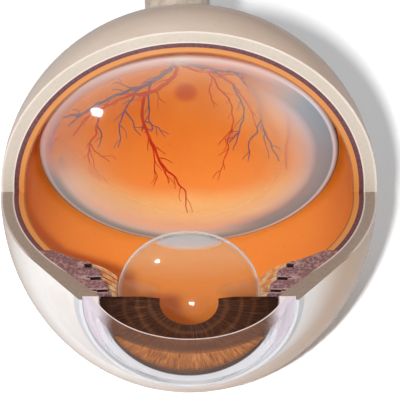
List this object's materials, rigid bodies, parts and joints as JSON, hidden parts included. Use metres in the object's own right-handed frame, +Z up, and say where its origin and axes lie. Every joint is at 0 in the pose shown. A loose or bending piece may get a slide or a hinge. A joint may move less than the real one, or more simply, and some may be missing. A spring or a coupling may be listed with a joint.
{
  "type": "eye anatomy model",
  "caption": "Cutaway human eye with clear cornea, lens and vitreous that lift out, iris, ciliary folds, coloured coats, retinal vessels and optic nerve stub.",
  "frame": {"origin": "middle of the flat that the eye stands on, straight under the centre of the globe", "axes": "the eye looks along -Y, the optic nerve leaves along +Y, +Z is up, +X is to the right of someone who faces the cornea"},
  "size_m": [0.12, 0.163, 0.1233],
  "materials": {
    "sclera": "satin",
    "choroid": "satin",
    "retina": "gloss",
    "optic_disc": "gloss",
    "nerve_sheath": "satin",
    "optic_nerve": "satin",
    "artery": "gloss",
    "vein": "gloss",
    "ciliary_muscle": "satin",
    "ciliary_fold": "satin",
    "zonule": "satin",
    "steel": "satin",
    "brass": "satin",
    "cornea": "gloss",
    "iris": "satin",
    "lens": "gloss",
    "vitreous": "gloss"
  },
  "bodies": {
    "eyeball": {"sclera_rear": "sclera", "sclera_front": "sclera", "choroid_rear": "choroid", "choroid_front": "choroid", "retina_rear": "retina", "retina_front": "retina", "optic_disc": "optic_disc", "optic_nerve_sheath": "nerve_sheath", "optic_nerve": "optic_nerve", "central_artery": "artery", "central_vein": "vein", "retinal_arteries": "artery", "retinal_veins": "vein", "ciliary_body": "ciliary_muscle", "ciliary_processes": "ciliary_fold", "zonule_fibres": "zonule", "locating_pins": "steel", "stand_bush": "brass"},
    "vitreous": {"vitreous_body": "vitreous"},
    "lens": {"lens": "lens"},
    "iris": {"iris": "iris"},
    "cornea": {"cornea": "cornea"}
  },
  "joints": [
    {"name": "vitreous_slide", "type": "slide", "parent": "eyeball", "child": "vitreous", "axis": [0, -1, 0], "range_m": [0, 0.028]},
    {"name": "lens_lift", "type": "slide", "parent": "eyeball", "child": "lens", "axis": [0, 0, 1], "range_m": [0, 0.045]},
    {"name": "iris_lift", "type": "slide", "parent": "eyeball", "child": "iris", "axis": [0, 0, 1], "range_m": [0, 0.035]},
    {"name": "cornea_slide", "type": "slide", "parent": "eyeball", "child": "cornea", "axis": [0, -1, 0], "range_m": [0, 0.03]}
  ]
}
